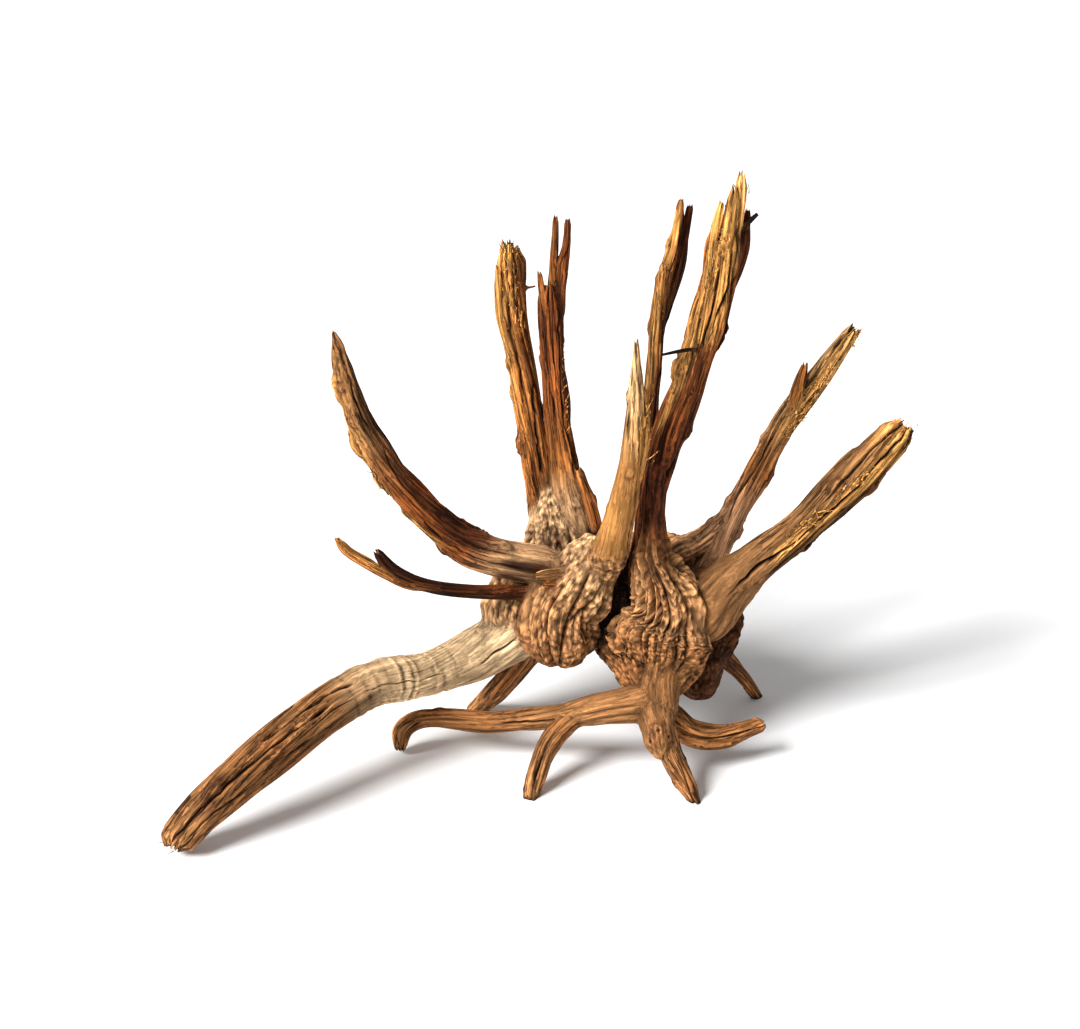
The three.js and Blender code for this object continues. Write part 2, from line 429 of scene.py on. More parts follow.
def cracked_and_knotted(spot, relief, colours, cracks, knots, pits, wrinkles):
    """Adds cracks, knots, holes and wrinkles. Each wrinkled stretch is (start, end, height), with
    start and end in mm."""
    wood, seed = spot["wood"], spot["seed"]
    groove = cracks_in(spot, cracks)
    relief = relief - groove
    # painted shade in the cracks, darker the deeper they are
    colours = blend(colours, CRACK_SHADE_COLOUR, np.clip(groove / 2.2, 0, 0.92))
    height, foot = knots_on(spot, knots)
    relief = relief + height
    colours = blend(colours, KNOT_COLOUR, 0.55 * foot)
    hole = pits_on(spot, pits)
    relief = relief - 1.6 * hole
    # painted shade in the small holes
    colours = blend(colours, CRACK_SHADE_COLOUR, np.clip(1.4 * hole - 0.1, 0, 0.95))
    for start, end, height in wrinkles:
        wave = noise(wood * [0.12, 0.12, 1], 2.6, seed + 9) + 0.35 * noise(wood, 3, seed + 8)
        relief = relief + height * window_between(spot["s"], start, end, 7) * wave
    return relief, colours


def barked(spot, relief, colours, cork, ropes):
    """Adds cork, (amount, how many mm it reaches from the start), and its hanging ropes. Also gives
    how corky each place is."""
    amount, reach = cork
    corky = np.zeros(spot["s"].shape)
    if amount:
        ragged = spot["s"] + 5 * noise(spot["wood"], 7, spot["seed"] + 12)
        corky = amount * (1 - ease_between(ragged, reach * 0.6, reach))
        height, packed = cork_on(spot, corky)
        relief = relief + height
        # cork grains painted lighter on top and darker between them: painted highlight and painted
        # shade
        colours = colours * (1 + corky * (0.5 * packed - 0.3))[..., None]
    if ropes:
        relief = relief + ropes_on(spot, *ropes)
    return relief, colours, corky


# %% The limb
RING_STEP = 1.25
SIDE_STEP = 0.8
SIDES_ALLOWED = (14, 260)
SEED_SHIFT = 17.3
END_RINGS = np.array([0.8, 0.5, 0.22])[:, None]
made = []


def sliver_stops(angle, length, jag, seed):
    """Where each side of a limb stops: the wood breaks in slivers, so the length steps from one
    block of angles to the next, at two block sizes."""
    around = np.stack([np.cos(angle), np.sin(angle), np.full(angle.shape, seed * 0.37)], -1)
    wide = lattice(np.floor(around * 2.1), seed)
    slim = lattice(np.floor(around * 5.3), seed + 1)
    return length - jag * (0.5 + 0.32 * wide + 0.18 * slim)


def places_on(along, radius, jag, twist, seed):
    """Every place of a limb's grid, as arrays: its distance s along the line, its angle, the line's
    radius there, and where it is in the wood, for noise that turns with the twist of the grain."""
    length = along[-1]
    sides = int(np.clip(2 * np.pi * radius.max() / SIDE_STEP, *SIDES_ALLOWED))
    angle = np.linspace(0, 2 * np.pi, sides, endpoint=False)
    s = along[:, None] / length * sliver_stops(angle, length, jag, seed)
    size = np.interp(s, along, radius)
    turn = angle + np.radians(twist) * s
    wood = np.stack([np.cos(turn) * size, np.sin(turn) * size, s], -1) + seed * SEED_SHIFT
    angle = np.broadcast_to(angle, s.shape)
    return {"s": s, "angle": angle, "size": size, "wood": wood, "length": length, "seed": seed}


def end_shape(spot, jag, blunt):
    """A factor on the radius: a broken end gets a little thinner, and a blunt one is a dome."""
    s, length = spot["s"], spot["length"]
    if blunt:
        return np.sqrt(1 - np.clip((s - length) / spot["size"][-1, 0] + 1, 0, 0.985) ** 2)
    if jag:
        return 1 - 0.35 * ease_between(s, s[-1] - 0.8 * jag, s[-1])
    return 1


def grid_of(spot, along, line, outward, jag):
    """The points of a limb: here + outward * (cos(angle) * front + sin(angle) * side). The last
    rings go in over torn slivers, deeper in the middle, and close the broken end."""
    s, angle = spot["s"], spot["angle"][0]
    sliver = np.floor(spot["wood"][-1:] / 2.2 + END_RINGS[..., None] * 5)
    torn_off = np.abs(lattice(sliver, spot["seed"] + 20))
    pit = s[-1] - jag * ((1 - END_RINGS) * 0.3 + 0.3 * torn_off)
    distance = np.concatenate([s, pit])
    outward = np.concatenate([outward, END_RINGS * outward[-1]])[..., None]
    here, ahead, beside = (
        np.stack([np.interp(distance, along, column) for column in values.T], -1)
        for values in (line, *directions(line))
    )
    grid = here + outward * (np.cos(angle)[:, None] * ahead + np.sin(angle)[:, None] * beside)
    return grid, np.stack([line[0], grid[-1].mean(0)])


def layers_of(spot, colours, corky, even, jag):
    """The values that each vertex carries, with those of the end's own rings after them."""
    wood, rings = spot["wood"], len(END_RINGS)
    sides = wood.shape[1]
    broken = np.full((1, sides), 0.6 if jag else 0.0)
    end_colours = np.repeat(blend(colours[-1:], TORN_COLOUR, broken), rings, 0)
    return {
        "tint": np.concatenate([colours, end_colours]).reshape(-1, 3),
        "grain": np.concatenate([wood, wood[-1:] * END_RINGS[..., None]]).reshape(-1, 3),
        "crust": np.concatenate([corky, np.repeat(corky[-1:], rings, 0)]).ravel(),
        "calm": np.concatenate([even, np.zeros((rings, sides))]).ravel(),
    }


def limb(name, points, tints, strand=(1.0, 5.0), fibre=0.4, jag=0.0, torn=(), cracks=(), knots=(),
         burrs=0, cork=(0.0, 0.0), ropes=(), wrinkles=(), calm=(), pits=(), twist=0.4, blunt=False,
         dark=(), seed=0):
    """A stem, a root or a swelling: a grid of rings along the line through the points, whose
    radius is the line's plus every mark's height."""
    along, line, radius = smooth_line(points, RING_STEP)
    spot = places_on(along, radius, jag, twist, seed)
    relief, colours, even = plain_wood(spot, tints, strand, fibre, calm)
    relief, colours = torn_stained_and_shaded(spot, relief, colours, torn, dark)
    knots = [*knots, *random_knots(burrs, seed)]
    relief, colours = cracked_and_knotted(spot, relief, colours, cracks, knots, pits, wrinkles)
    relief, colours, corky = barked(spot, relief, colours, cork, ropes)
    thickness = np.maximum(spot["size"] + relief, 0.35 * spot["size"])
    outward = thickness * end_shape(spot, jag, blunt)
    grid, poles = grid_of(spot, along, line, outward, jag)
    layers = layers_of(spot, colours, corky, even, jag)
    made.append(skin(name, grid.reshape(-1, 3), poles, tube_faces(len(grid), grid.shape[1]), layers))


# %% [markdown]
# ## The stems
# The crown is what is left of the shrub's stems. The bark is gone. What shows is orange-brown
# heartwood with dark grain, long drying cracks, golden faces where strips were torn off, and ends
# broken into splinters. The dark patches on the right side of most stems, away from the window, are
# partly stains and partly painted shade. A limb's points run from inside the burl to its tip.

# %% Stems on the left
# the colours of sound, torn, weathered and dark wood, and of cork; the two darkest also paint shade,
# deep in the burl's cleft and on its right side
AMBER = "#a76833"
RUST = "#8b4c22"
HONEY = "#b87f44"
PALE = "#cfa06c"
UMBER = "#5a2c12"
DRIFT = "#c99b6e"
SADDLE = "#90643c"
BARK_AND_SHADE = "#341808"
CHAR_AND_SHADE = "#190c05"
OAK = "#7d5632"
ROSE = "#dca274"
CORK = "#ad7c50"
CORK_RED = "#8a5b35"
CORK_PALE = "#d6a97a"

limb(
    "left_limb",
    [
        (22, 48, 112, 9), (0, 42, 125, 12.5), (-44, 32, 142, 12.5), (-69, 24, 163, 11),
        (-94, 14, 198, 9), (-114, 6, 238, 8), (-123, 2, 272, 5.5), (-129, -1, 301, 2),
    ],
    [(0, DRIFT), (0.22, DRIFT), (0.34, RUST), (0.55, RUST), (0.72, SADDLE), (1, SADDLE)],
    strand=(1.2, 5), fibre=0.5, torn=[(-85, 40, 0.4, 0.88, 0.6)],
    dark=[(80, 60, 0.3, 0.95, 0.75), (20, 40, 0.3, 0.5, 0.5), (-40, 50, 0.08, 0.22, 0.95)],
    cracks=[(-20, 2.4, 0.7, 0.2, 0.5), (25, 2.4, 0.6, 0.5, 0.95), (-50, 2, 0.6, 0.35, 0.8)],
    knots=[
        (0.24, 40, 2.6), (0.3, 85, 2.2), (0.37, -80, 2.2), (0.5, -85, 2.6), (0.61, -90, 3.4),
        (0.72, -95, 3.8), (0.86, -85, 3.8), (0.96, 40, 1.6),
    ],
    burrs=5, jag=6, cork=(0.7, 32), calm=[(0.1, 0.25, 0.5)], seed=1,
)
limb(
    "left_twig",
    [
        (2, 42, 108, 6), (-28, 28, 115, 5), (-50, 20, 119, 4.5), (-72, 13, 125, 4.5),
        (-89, 8, 133, 4.5), (-101, 4, 144, 4), (-109, 1, 157, 3),
    ],
    [(0, UMBER), (0.3, UMBER), (0.5, BARK_AND_SHADE), (1, BARK_AND_SHADE)], strand=(0.3, 5), fibre=0.12, jag=5,
    knots=[(0.25, 20, 2.2), (0.6, 40, 0.9)], seed=2,
)
limb(
    "left_twig_fork",
    [
        (-70, 12, 125, 3.5), (-92, 6, 132, 3.5), (-115, 1, 148, 3.5), (-126, -1, 157, 3.5),
        (-134, -2, 168, 2.5),
    ],
    [(0, UMBER), (0.4, AMBER), (1, AMBER)], strand=(0.6, 4), jag=7,
    torn=[(60, 60, 0.25, 0.9, 0.6)], cracks=[(0, 1.5, 0.5, 0.3, 1)], seed=3,
)
limb(
    "left_stub_high", [(26, 36, 129, 4), (8, 25, 129, 4), (-9, 19, 130, 3.4)],
    [(0, UMBER), (1, SADDLE)], strand=(0.9, 3), fibre=0.5, jag=6, dark=[(-80, 60, 0, 1, 0.9)],
    seed=52,
)
limb(
    "left_stub_low", [(22, 34, 122, 3.5), (4, 22, 123, 3.6), (-5, 17, 126, 2.8)],
    [(0, UMBER), (1, RUST)], strand=(0.8, 3), fibre=0.4, jag=5, seed=53,
)
limb(
    "back_left_limb",
    [
        (3, 88, 118, 10), (-2, 91, 140, 10), (-7, 95, 168, 8), (-10, 98, 195, 9),
        (-16, 102, 235, 9.5), (-24, 106, 283, 10), (-25, 110, 331, 9),
    ],
    [(0, UMBER), (0.3, AMBER), (0.6, AMBER), (1, AMBER)], strand=(1.6, 6), fibre=0.5, jag=11,
    cracks=[
        (35, 5, 0.9, 0.3, 1.1), (-12, 4, 0.8, 0.5, 1.1), (-48, 3.5, 0.7, 0.68, 1.1),
        (75, 3, 0.7, 0.4, 0.9), (160, 4, 1, 0.25, 1.1), (-130, 3, 0.8, 0.4, 1.1),
    ],
    dark=[(60, 50, 0.15, 0.9, 0.65), (0, 35, 0.1, 0.4, 0.6)],
    torn=[(-75, 34, 0.5, 1.1, 1.0), (0, 24, 0.8, 1.1, 0.6)],
    knots=[(0.36, -85, 3.6), (0.62, -70, 2.8), (0.52, -95, 2.4), (0.52, 60, 2)], burrs=5,
    cork=(1.0, 46), seed=4,
)
limb(
    "back_left_splinter",
    [(-20, 98, 246, 2.5), (-29, 97, 270, 2.6), (-32, 98, 295, 2.6), (-33, 99, 316, 2.2)],
    [(0, AMBER), (1, HONEY)], strand=(0.5, 3), jag=4, torn=[(0, 180, 0, 1.1, 0.2)], seed=16,
)
limb(
    "back_left_thorn", [(-19, 107, 298, 1.2), (-12, 106, 298, 1.0), (-8, 106, 299, 0.6)],
    [(0, UMBER), (1, UMBER)], strand=(0.1, 3), fibre=0.05, seed=17,
)
limb(
    "forked_limb",
    [
        (22, 80, 116, 14), (18, 84, 138, 14), (13, 89, 162, 10.5), (8, 92, 197, 8.5),
        (4, 96, 245, 7.5), (2, 100, 291, 7.5), (2, 102, 310, 7),
    ],
    [(0, DRIFT), (0.22, DRIFT), (0.34, AMBER), (0.6, RUST), (1, UMBER)], strand=(1.3, 5),
    fibre=0.5, jag=13, calm=[(0.05, 0.3, 0.5)],
    cracks=[
        (30, 3.5, 0.8, 0.3, 1.1), (-25, 3.5, 0.8, 0.55, 1.1), (70, 3, 0.7, 0.25, 0.7),
        (0, 2.5, 0.6, 0.7, 1.1), (170, 3.5, 0.8, 0.3, 1.1),
    ],
    dark=[(75, 50, 0.35, 1, 0.6), (-40, 30, 0.45, 0.8, 0.4)],
    knots=[(0.2, 30, 2.4), (0.24, -30, 1.6), (0.7, -80, 2.6)], burrs=4, cork=(0.8, 18), seed=5,
)
limb(
    "fork_short_prong", [(0, 96, 268, 3), (-3, 97, 292, 2.8), (-6, 98, 312, 1.6)],
    [(0, RUST), (1, AMBER)], strand=(0.5, 3), jag=4, seed=18,
)
limb(
    "left_prong", [(3, 102, 290, 4.2), (4, 103, 314, 2.8), (5, 104, 348, 1.7)],
    [(0, AMBER), (1, UMBER)], strand=(0.5, 3), jag=5, seed=6,
)
limb(
    "right_prong",
    [(6, 101, 280, 5.2), (8, 103, 304, 4.4), (12, 104, 328, 2.8), (13, 105, 345, 2)],
    [(0, RUST), (1, UMBER)], strand=(0.6, 3), jag=5, cracks=[(0, 2, 0.6, 0, 0.7)], seed=7,
)
limb(
    "fork_strut", [(34, 76, 120, 6), (29, 82, 151, 5.2), (19, 86, 182, 3.6)],
    [(0, RUST), (1, AMBER)], strand=(0.8, 4), fibre=0.5, jag=6, knots=[(0.6, 80, 2)], seed=8,
)

# %% Stems in front and on the right
limb(
    "front_limb",
    [
        (32, 38, 112, 8), (39, 22, 143, 12), (43, 7, 167, 10), (47, -3, 191, 9),
        (51, -8, 223, 7.2), (53, -10, 259, 5.5), (52, -12, 299, 1.6),
    ],
    [(0, CORK), (0.2, CORK), (0.27, HONEY), (0.6, HONEY), (0.8, PALE), (1, PALE)],
    strand=(0.55, 6), fibre=0.3, jag=8, calm=[(0.2, 0.62, 0.6)],
    cracks=[(58, 4.5, 0.8, 0.2, 0.75), (80, 3, 0.6, 0.3, 0.6)], torn=[(75, 30, 0.5, 0.95, 1.0)],
    dark=[(90, 40, 0.2, 1, 0.35), (0, 20, 0.72, 0.9, 0.35)],
    knots=[(0.58, 5, 2.2), (0.42, -85, 1.2)], burrs=2, cork=(1.0, 57), seed=9,
)
limb(
    "front_sliver", [(52, -4, 196, 3), (58, -6, 220, 3), (60, -7, 244, 2.4), (58, -9, 268, 1.2)],
    [(0, AMBER), (1, HONEY)], strand=(0.4, 3), jag=4, torn=[(0, 180, 0, 1.1, 0.2)], seed=19,
)
limb(
    "slender_limb",
    [
        (60, 40, 112, 8), (62, 34, 170, 5), (64, 38, 217, 4.6), (67, 46, 267, 5),
        (71, 49, 312, 5.2), (79, 53, 345, 3.6), (82, 55, 369, 2.2),
    ],
    [(0, UMBER), (0.5, UMBER), (0.65, AMBER), (1, AMBER)], strand=(0.7, 4), fibre=0.4, jag=5,
    dark=[(85, 60, 0.4, 1, 0.85)], cracks=[(40, 2.2, 0.6, 0.4, 1.1), (-20, 1.8, 0.5, 0.6, 1)],
    torn=[(-30, 40, 0.55, 1.1, 0.5)], knots=[(0.68, -90, 1.8), (0.8, -90, 1.6)], burrs=2, seed=10,
)
limb(
    "slender_step", [(71, 47, 296, 3.2), (71, 47, 318, 3.4), (72, 47, 331, 2.6)],
    [(0, AMBER), (1, HONEY)], strand=(0.5, 3), jag=4, seed=31,
)
limb(
    "slender_back", [(72, 49, 290, 3), (81, 54, 324, 3.6), (88, 60, 364, 2.0)],
    [(0, BARK_AND_SHADE), (1, UMBER)], strand=(0.4, 3), jag=4, seed=32,
)
limb(
    "tall_limb",
    [
        (74, 36, 104, 14), (69, 24, 138, 9), (66, 14, 170, 6.6), (71, 14, 218, 9.2),
        (88, 20, 262, 10.5), (101, 26, 308, 11.5), (107, 30, 340, 11.5), (111, 33, 364, 10),
    ],
    [
        (0, CORK), (0.13, CORK_RED), (0.27, UMBER), (0.42, UMBER), (0.6, RUST), (0.8, RUST),
        (1, AMBER),
    ],
    strand=(1.7, 6.5), fibre=0.55, jag=16,
    cracks=[
        (50, 5, 1.0, 0.4, 0.85), (-10, 4, 0.8, 0.7, 1.1), (22, 5, 0.9, 0.72, 1.1),
        (-42, 4, 0.8, 0.76, 1.1), (75, 4, 0.9, 0.62, 1.1), (150, 5, 1.1, 0.35, 1.1),
        (-140, 4.5, 0.9, 0.5, 1.1), (-95, 3, 0.8, 0.7, 1.1),
    ],
    dark=[(88, 52, 0.3, 1.1, 0.75), (-20, 40, 0.28, 0.5, 0.7), (10, 26, 0.5, 0.68, 0.6)],
    torn=[(-20, 62, 0.72, 1.1, 0.8), (-50, 30, 0.5, 0.7, 0.5)],
    knots=[
        (0.63, -85, 4), (0.4, 0, 3.4), (0.44, 25, 2.4), (0.72, 85, 3), (0.5, 90, 2.6),
        (0.56, -40, 2.4),
    ],
    burrs=6, cork=(0.9, 88), seed=11,
)
limb(
    "tall_left_strand", [(99, 26, 322, 2.4), (99, 23, 346, 3), (104, 25, 374, 2.2)],
    [(0, HONEY), (1, HONEY)], strand=(0.6, 3), jag=8, torn=[(0, 180, 0, 1.1, 0.2)], seed=33,
)
limb(
    "tall_middle_strand", [(104, 24, 330, 3), (108, 24, 356, 4), (112, 28, 383, 3)],
    [(0, HONEY), (1, HONEY)], strand=(0.8, 3), jag=10, torn=[(0, 180, 0, 1.1, 0.2)], seed=51,
)
limb(
    "tall_top_strand", [(111, 30, 340, 3.5), (114, 30, 366, 4.4), (116, 33, 392, 2.8)],
    [(0, HONEY), (1, DRIFT)], strand=(0.8, 3), jag=10, torn=[(0, 180, 0, 1.1, 0.2)], seed=34,
)
limb(
    "tall_right_strand", [(110, 32, 316, 4), (118, 35, 340, 4), (121, 38, 366, 2)],
    [(0, UMBER), (1, UMBER)], strand=(0.8, 3), jag=6, seed=35,
)
limb(
    "tall_thorn", [(93, 15, 284, 1.5), (81, 10, 284, 1.2), (69, 8, 282, 0.8)],
    [(0, CHAR_AND_SHADE), (1, CHAR_AND_SHADE)], strand=(0.1, 3), fibre=0.05, seed=36,
)
limb(
    "tall_right_thorn", [(112, 34, 350, 2.4), (120, 33, 357, 1.8), (126, 32, 363, 1.2)],
    [(0, CHAR_AND_SHADE), (1, CHAR_AND_SHADE)], strand=(0.2, 3), fibre=0.1, seed=37,
)
limb(
    "right_limb",
    [
        (96, 58, 98, 12), (106, 62, 116, 10), (119, 68, 146, 9), (136, 76, 175, 8),
        (156, 84, 211, 8), (178, 92, 239, 8.5), (204, 102, 274, 6),
    ],
    [(0, ROSE), (0.3, ROSE), (0.45, AMBER), (0.75, PALE), (1, PALE)], strand=(1.1, 5), fibre=0.5,
    jag=9, calm=[(0.1, 0.35, 0.5)],
    cracks=[
        (-15, 3.5, 0.8, 0.3, 0.62), (40, 4, 0.8, 0.6, 1.1), (-40, 3, 0.7, 0.75, 1.1),
        (160, 3.5, 0.9, 0.3, 1),
    ],
    torn=[(25, 65, 0.62, 1.1, 1.0)], dark=[(95, 50, 0.2, 0.7, 0.65), (-20, 30, 0.4, 0.55, 0.3)],
    knots=[(0.25, 95, 3), (0.45, 95, 2.6), (0.33, -60, 2.4), (0.55, -80, 2)], burrs=4, seed=12,
)
limb(
    "right_limb_heel",
    [(60, 54, 112, 9), (82, 58, 128, 8.5), (102, 63, 136, 8), (119, 68, 149, 7)],
    [(0, CORK), (1, ROSE)], strand=(0.9, 4), burrs=4, cork=(0.6, 60), seed=13,
)
limb(
    "right_limb_spike", [(154, 81, 200, 5.5), (162, 85, 226, 4.6), (169, 88, 254, 3.0)],
    [(0, AMBER), (1, AMBER)], strand=(0.7, 3.5), jag=7, dark=[(90, 50, 0.3, 1.1, 0.7)], seed=14,
)
limb(
    "far_right_limb",
    [
        (84, 42, 82, 16), (103, 34, 101, 22), (119, 28, 121, 17.5), (134, 25, 137, 13.5),
        (162, 26, 160, 12), (196, 30, 195, 13), (227, 34, 230, 11),
    ],
    [(0, SADDLE), (0.36, SADDLE), (0.46, OAK), (0.85, OAK), (1, HONEY)], strand=(1.3, 6),
    fibre=0.4, jag=10, cork=(0.8, 20), calm=[(0, 0.36, 0.75)],
    cracks=[
        (12, 5.5, 0.9, 0.3, 1.1), (48, 4.5, 0.9, 0.5, 1.1), (-28, 3, 0.8, 0.68, 1.1),
        (150, 5, 1.2, 0.4, 1.1), (-110, 4, 0.9, 0.5, 1.1), (85, 3.5, 0.8, 0.5, 1),
    ],
    torn=[(38, 40, 0.46, 1.1, 1.0)], dark=[(95, 60, 0.4, 1.1, 0.85), (14, 12, 0.45, 1.1, 0.7)],
    knots=[(0.72, -22, 2.8), (0.3, 10, 2.0), (0.36, 45, 2.2), (0.52, 100, 2.6), (0.78, 100, 2.6)],
    burrs=3, seed=15,
)
print("stems so far:", len(made))

# %% [markdown]
# ## The roots
# Roots grew in the soil, so they are paler and finer grained than the stems, and they bend more.
# The long one arches down to the left, and its skin is pushed into wrinkles where it bends.

# %% Roots
# the colours of root wood, from pale to earthy; the darkest also paints the shade on the burl's right
# side
SAND = "#e6c294"
TAN = "#9d6c41"
CLAY = "#8d5c33"
SOIL_AND_SHADE = "#55321b"

limb(
    "long_root",
    [
        (6, 54, 92, 14), (-14, 51, 81, 20), (-44, 44, 64, 18), (-77, 19, 61, 14.5),
        (-115, -14, 68, 15), (-155, -48, 56, 15), (-191, -82, 38, 14), (-222, -105, 14, 10.5),
        (-228, -110, 6, 8),
    ],
    [(0, SAND), (0.42, SAND), (0.58, TAN), (0.75, CLAY), (1, TAN)], strand=(0.9, 6), fibre=0.45,
    jag=6,
    cracks=[
        (-8, 2, 0.4, 0.34, 0.58), (30, 3.4, 0.9, 0.55, 0.72), (5, 3.6, 1.0, 0.62, 0.95),
        (-30, 3, 0.9, 0.68, 1.1), (60, 3, 0.8, 0.62, 1.1), (-15, 3, 0.9, 0.1, 0.2),
        (18, 2.6, 0.7, 0.8, 1.1), (-60, 2.5, 0.8, 0.7, 1),
    ],
    wrinkles=[(92, 132, 0.75), (138, 168, 0.65)], calm=[(0.12, 0.56, 0.6)],
    dark=[(-70, 45, 0.5, 1.1, 0.4), (20, 16, 0.6, 0.9, 0.35)],
    knots=[(0.64, 8, 1.8), (0.86, 25, 3), (0.74, -5, 2.0)], burrs=3, seed=21,
)
limb(
    "neck", [(78, 28, 88, 12), (75, 15, 72, 14), (71, 3, 60, 15.5), (69, -14, 46, 15)],
    [(0, CORK_RED), (1, TAN)], strand=(1.3, 5), fibre=0.5, cork=(0.9, 36), calm=[(0.5, 1, 0.5)],
    seed=22,
)
limb(
    "knuckle", [(69, -12, 50, 13), (71, -26, 36, 10), (73, -33, 25, 5)], [(0, TAN), (1, TAN)],
    strand=(0.8, 5), blunt=True, calm=[(0, 1, 0.5)],
    knots=[(0.5, 0, 2.2), (0.62, -38, 1.8), (0.64, 35, 1.8)],
    pits=[(0.5, 0, 1.3), (0.62, -38, 1.1), (0.64, 35, 1.1)], seed=23,
)
limb(
    "hook_root",
    [
        (74, -7, 56, 8), (60, -8, 53, 12), (34, -8, 49, 10), (2, 0, 38, 7.5), (-38, 10, 29, 6.5),
        (-85, 18, 27, 6), (-97, 19, 18, 6), (-99, 18, 2, 4.5),
    ],
    [(0, TAN), (0.4, TAN), (0.6, CLAY), (1, TAN)], strand=(0.9, 5), fibre=0.45, jag=4,
    calm=[(0, 0.4, 0.55), (0.5, 0.9, 0.3)],
    cracks=[
        (-10, 2.4, 0.8, 0.36, 0.52), (20, 2.6, 0.8, 0.88, 1.1), (-30, 2.4, 0.7, 0.86, 1.1),
        (60, 2, 0.7, 0.88, 1.1),
    ],
    burrs=8, seed=24,
)
limb(
    "left_foot", [(20, -5, 43, 7), (3, -16, 31, 7), (-6, -28, 14, 6.5), (-11, -38, -2, 4.5)],
    [(0, CLAY), (1, TAN)], strand=(0.9, 4.5), cracks=[(5, 3, 0.8, 0.7, 1.1)], burrs=3, seed=25,
)
limb(
    "front_foot", [(71, -17, 44, 10), (80, -30, 25, 7.5), (88, -37, 12, 6), (95, -43, -2, 4)],
    [(0, TAN), (1, CLAY)], strand=(1, 4.5), cracks=[(-15, 3, 0.8, 0.5, 1.1)],
    dark=[(0, 90, 0.3, 0.9, 0.4)], burrs=3, seed=26,
)
limb(
    "right_root", [(76, -1, 42, 10), (93, -6, 30, 8.5), (115, 2, 23, 8), (144, 10, 29, 5)],
    [(0, CLAY), (1, CLAY)], strand=(0.9, 5), jag=4, cracks=[(0, 2.6, 0.6, 0.4, 0.95)], burrs=3,
    seed=27,
)
limb(
    "back_right_root", [(112, 62, 60, 8), (135, 84, 27, 4.5), (151, 102, -2, 3.5)],
    [(0, SOIL_AND_SHADE), (1, CLAY)], strand=(0.6, 4), burrs=2, seed=28,
)
limb(
    "left_stub", [(-10, 52, 60, 8), (-30, 62, 30, 8), (-52, 82, -2, 6.5)], [(0, CLAY), (1, TAN)],
    strand=(0.6, 5), burrs=2, seed=29,
)
limb(
    "dark_stub", [(101, 45, 62, 18), (101, 43, 42, 15), (98, 40, 30, 10)], [(0, SOIL_AND_SHADE), (1, SOIL_AND_SHADE)],
    strand=(1.4, 5), blunt=True, burrs=3, cork=(0.8, 30), seed=30,
)
WOOD_LIMBS = len(made)
print("stems and roots:", WOOD_LIMBS)

# %% [markdown]
# ## The burl
# The burl swelled year by year under thick cork, and the cork sank into long hanging ropes with
# deep clefts between them. A swelling is a very fat limb: its line starts under the stems and runs
# down the way the cork hangs. The right one narrows into the neck that the lower roots leave from,
# so its ropes draw together there, and the left one ends round.

# %% Swellings

def swelling(name, points, colours, width, depth, start, seed, stretch=0.16, dark=()):
    """A fat limb of cork, with hanging ropes of that width and depth below the share start."""
    limb(name, points, colours, strand=(0.4, 7), fibre=0.0, twist=0, cork=(1.0, 1000),
         ropes=(width, depth, start, stretch), blunt=True, dark=dark, seed=seed)


swelling(
    "left_lobe",
    [
        (38, 44, 144, 13), (30, 38, 132, 19.5), (18, 33, 114, 24), (9, 31, 97, 26),
        (7, 31, 80, 26), (7, 32, 61, 24),
    ],
    [(0, CORK_PALE), (0.5, CORK), (1, CORK_RED)], 20, 11.0, 0.25, 41,
)
swelling(
    "right_lobe",
    [
        (66, 14, 186, 6.8), (66, 15, 166, 7.5), (67, 19, 147, 9.8), (71, 23, 133, 14),
        (77, 26, 118, 21), (80, 27, 106, 24.5), (79, 28, 96, 29.5), (76.5, 26, 84, 33.5),
        (74.5, 20, 71, 31), (72, 10, 58, 22), (71, 1, 48, 13),
    ],
    [(0, UMBER), (0.18, CORK_RED), (0.36, CORK), (0.6, CORK), (0.75, CORK_RED), (1, TAN)], 15,
    10.0, 0.1, 82, stretch=0.1,
)
# its upper part is nearly black: painted shade deep in the cleft between the two lobes
swelling(
    "middle",
    [(44, 58, 132, 18), (46, 55, 106, 24), (50, 43, 84, 22), (60, 17, 66, 15), (68, -2, 53, 11)],
    [(0, CHAR_AND_SHADE), (0.55, CHAR_AND_SHADE), (0.75, CORK_RED), (1, CLAY)], 9, 3.5, 0.2, 43,
)
# painted dark all over: painted shade on the burl's right side, away from the window
swelling(
    "right_side",
    [
        (100, 48, 122, 10), (108, 52, 104, 20), (108, 54, 82, 24), (103, 52, 63, 20),
        (99, 48, 46, 12),
    ],
    [(0, SOIL_AND_SHADE), (1, BARK_AND_SHADE)], 9, 4.5, 0.2, 44,
)
swelling(
    "left_side", [(-4, 60, 124, 12), (-18, 55, 108, 18), (-25, 52, 90, 19), (-22, 50, 72, 14)],
    [(0, CORK_PALE), (1, CORK)], 10, 4.0, 0.2, 45,
)
swelling(
    "core", [(48, 68, 134, 22), (48, 68, 112, 33), (48, 68, 88, 34), (48, 62, 66, 22)],
    [(0, CORK), (1, CORK_RED)], 11, 4.5, 0.2, 46,
)
swelling(
    "back_left_lobe", [(16, 80, 134, 15), (12, 86, 114, 26), (12, 88, 94, 28), (16, 82, 72, 20)],
    [(0, CORK_PALE), (1, CORK)], 11, 5.0, 0.2, 47,
)
swelling(
    "back_right_lobe", [(76, 74, 130, 13), (80, 82, 110, 25), (80, 83, 90, 28), (76, 78, 70, 20)],
    [(0, CORK), (1, CORK_RED)], 10, 5.0, 0.2, 48,
)
swelling(
    "back_mound",
    [(2, 93, 164, 9), (5, 90, 148, 17), (9, 86, 130, 24), (12, 84, 112, 24), (12, 82, 96, 14)],
    [(0, CORK_PALE), (1, CORK_PALE)], 11, 4.0, 0.0, 49, dark=[(0, 75, 0.4, 0.5, 0.9)],
)
